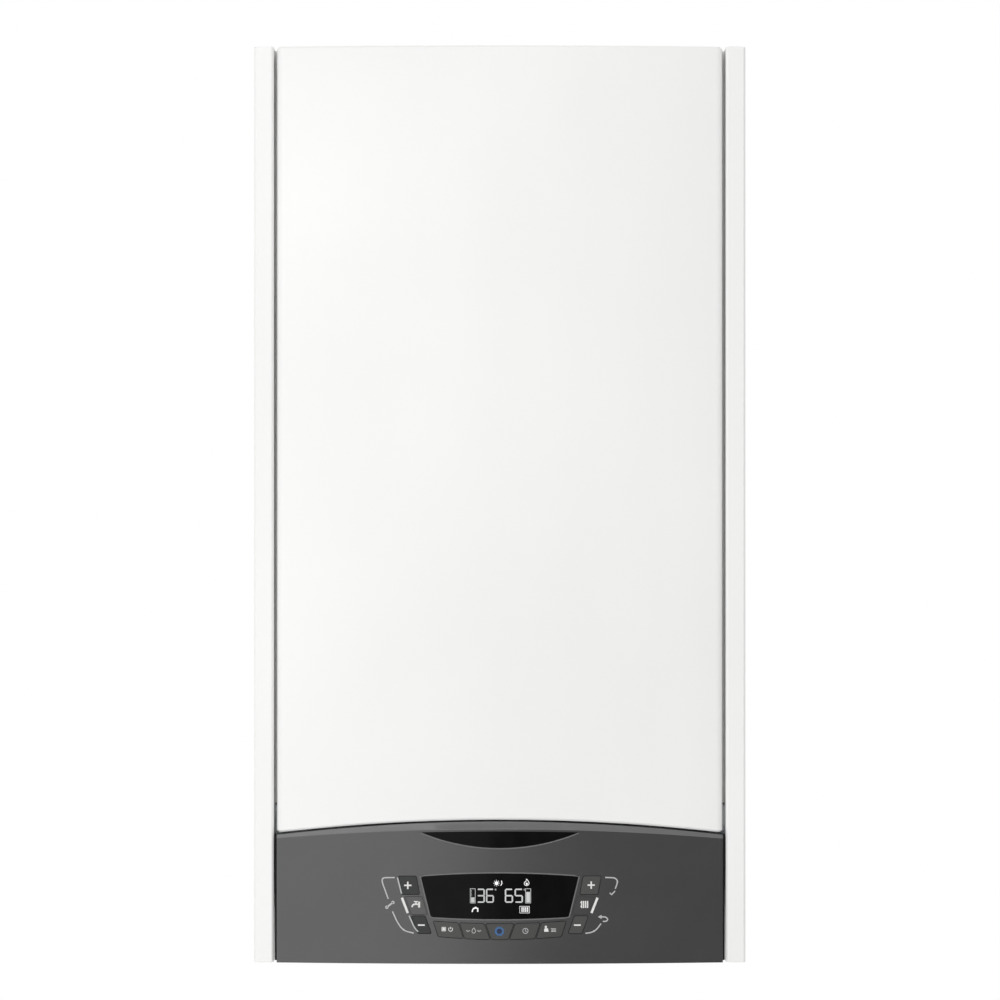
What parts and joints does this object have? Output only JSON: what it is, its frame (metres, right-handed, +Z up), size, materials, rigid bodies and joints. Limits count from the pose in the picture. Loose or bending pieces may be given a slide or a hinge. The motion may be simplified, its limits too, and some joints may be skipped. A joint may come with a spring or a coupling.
{
  "type": "combi boiler",
  "caption": "Wall-hung condensing combi boiler: sheet-steel casing with crowned lift-off cover, arched tilting control panel with display and keys, coaxial flue socket and pipe tails.",
  "frame": {"origin": "on the wall plane behind the boiler, midway between the two hanging holes", "axes": "+X to the right of someone facing the front, +Y into the wall, so the front faces -Y, +Z up"},
  "size_m": [0.4, 0.319, 0.745],
  "materials": {
    "white_coated_steel": "satin powder coat",
    "zinc_steel": "galvanised sheet",
    "stainless": "brushed stainless",
    "cast_aluminium": "die cast",
    "brass": "machined",
    "copper_pipe": "drawn copper tube",
    "red_vessel": "gloss paint",
    "composite_grey": "glass-filled moulding",
    "black_plastic": "fine matt texture",
    "white_plastic": "satin moulding",
    "fascia_grey": "satin moulding",
    "black_gloss": "high gloss",
    "board_green": "lacquered board",
    "blue_knob": "satin moulding",
    "red_knob": "satin moulding",
    "rubber_hose": "smooth hose",
    "motor_black": "textured coat",
    "foam_lining": "fibre mat"
  },
  "bodies": {
    "casing": {"back_plate": "zinc_steel", "side_panel_right": "white_coated_steel", "side_panel_left": "white_coated_steel", "top_plate": "white_coated_steel", "bottom_plate": "zinc_steel", "cross_rail": "zinc_steel", "casing_screws": "zinc_steel", "flue_adapter": "white_plastic", "flue_pipe": "white_plastic", "expansion_vessel": "red_vessel", "vessel_hose": "rubber_hose", "mounting_plate": "zinc_steel", "heat_exchanger": "stainless", "burner_door": "cast_aluminium", "door_nuts": "zinc_steel", "electrodes": "white_plastic", "fan_housing": "cast_aluminium", "fan_motor": "motor_black", "venturi": "cast_aluminium", "air_silencer": "black_plastic", "gas_valve": "cast_aluminium", "gas_pipe": "copper_pipe", "gas_feed": "copper_pipe", "flow_block": "composite_grey", "return_block": "composite_grey", "pump_motor": "motor_black", "plate_exchanger": "stainless", "diverter_motor": "white_plastic", "flow_pipe": "copper_pipe", "return_pipe": "copper_pipe", "safety_valve": "brass", "air_vent": "brass", "pipe_tails": "brass", "condensate_trap": "white_plastic", "condensate_hose": "rubber_hose", "sensors": "black_plastic"},
    "front_cover": {"front_cover": "white_coated_steel", "cover_lining": "foam_lining"},
    "control_panel": {"control_fascia": "fascia_grey", "display_window": "black_gloss", "badge_insert": "black_gloss", "control_housing": "black_plastic", "control_board": "board_green"},
    "fan_impeller": {"fan_impeller": "cast_aluminium"},
    "pump_impeller": {"pump_impeller": "black_plastic"},
    "diverter_spindle": {"diverter_spindle": "brass"},
    "safety_knob": {"safety_knob": "red_knob"},
    "filling_knob": {"filling_knob": "blue_knob"},
    "air_vent_cap": {"air_vent_cap": "black_plastic"},
    "key_water_plus": {"key_water_plus": "fascia_grey"},
    "key_water_minus": {"key_water_minus": "fascia_grey"},
    "key_heating_plus": {"key_heating_plus": "fascia_grey"},
    "key_heating_minus": {"key_heating_minus": "fascia_grey"},
    "key_power": {"key_power": "fascia_grey"},
    "key_comfort": {"key_comfort": "fascia_grey"},
    "key_reset": {"key_reset": "fascia_grey"},
    "key_programme": {"key_programme": "fascia_grey"},
    "key_service": {"key_service": "fascia_grey"}
  },
  "joints": [
    {"name": "front_cover_lift", "type": "slide", "parent": "casing", "child": "front_cover", "axis": [0, 0, 1], "range_m": [0, 0.65]},
    {"name": "control_panel_tilt", "type": "hinge", "parent": "casing", "child": "control_panel", "pos_m": [0, -0.216, -0.686], "axis": [1, 0, 0], "range_deg": [0, 90]},
    {"name": "fan_spin", "type": "hinge", "parent": "casing", "child": "fan_impeller", "pos_m": [0.135, -0.222, -0.3], "axis": [0, 0, 1], "continuous": true},
    {"name": "pump_spin", "type": "hinge", "parent": "casing", "child": "pump_impeller", "pos_m": [0.134, -0.16, -0.572], "axis": [0, 1, 0], "continuous": true},
    {"name": "diverter_slide", "type": "slide", "parent": "casing", "child": "diverter_spindle", "axis": [0, 0, 1], "range_m": [0, 0.008]},
    {"name": "safety_knob_turn", "type": "hinge", "parent": "casing", "child": "safety_knob", "pos_m": [0.07, -0.166, -0.545], "axis": [0, 0, 1], "range_deg": [0, 90]},
    {"name": "filling_knob_turn", "type": "hinge", "parent": "casing", "child": "filling_knob", "pos_m": [0.1005, -0.085, -0.67], "axis": [0, 0, 1], "range_deg": [0, 270]},
    {"name": "air_vent_cap_turn", "type": "hinge", "parent": "casing", "child": "air_vent_cap", "pos_m": [0.092, -0.125, -0.485], "axis": [0, 0, 1], "range_deg": [0, 180]},
    {"name": "key_water_plus_press", "type": "slide", "parent": "control_panel", "child": "key_water_plus", "axis": [0, 1, 0], "range_m": [0, 0.001], "stiffness_N_per_m": 1000, "springref_m": -0.0005},
    {"name": "key_water_minus_press", "type": "slide", "parent": "control_panel", "child": "key_water_minus", "axis": [0, 1, 0], "range_m": [0, 0.001], "stiffness_N_per_m": 1000, "springref_m": -0.0005},
    {"name": "key_heating_plus_press", "type": "slide", "parent": "control_panel", "child": "key_heating_plus", "axis": [0, 1, 0], "range_m": [0, 0.001], "stiffness_N_per_m": 1000, "springref_m": -0.0005},
    {"name": "key_heating_minus_press", "type": "slide", "parent": "control_panel", "child": "key_heating_minus", "axis": [0, 1, 0], "range_m": [0, 0.001], "stiffness_N_per_m": 1000, "springref_m": -0.0005},
    {"name": "key_power_press", "type": "slide", "parent": "control_panel", "child": "key_power", "axis": [0, 1, 0], "range_m": [0, 0.001], "stiffness_N_per_m": 1000, "springref_m": -0.0005},
    {"name": "key_comfort_press", "type": "slide", "parent": "control_panel", "child": "key_comfort", "axis": [0, 1, 0], "range_m": [0, 0.001], "stiffness_N_per_m": 1000, "springref_m": -0.0005},
    {"name": "key_reset_press", "type": "slide", "parent": "control_panel", "child": "key_reset", "axis": [0, 1, 0], "range_m": [0, 0.001], "stiffness_N_per_m": 1000, "springref_m": -0.0005},
    {"name": "key_programme_press", "type": "slide", "parent": "control_panel", "child": "key_programme", "axis": [0, 1, 0], "range_m": [0, 0.001], "stiffness_N_per_m": 1000, "springref_m": -0.0005},
    {"name": "key_service_press", "type": "slide", "parent": "control_panel", "child": "key_service", "axis": [0, 1, 0], "range_m": [0, 0.001], "stiffness_N_per_m": 1000, "springref_m": -0.0005}
  ]
}
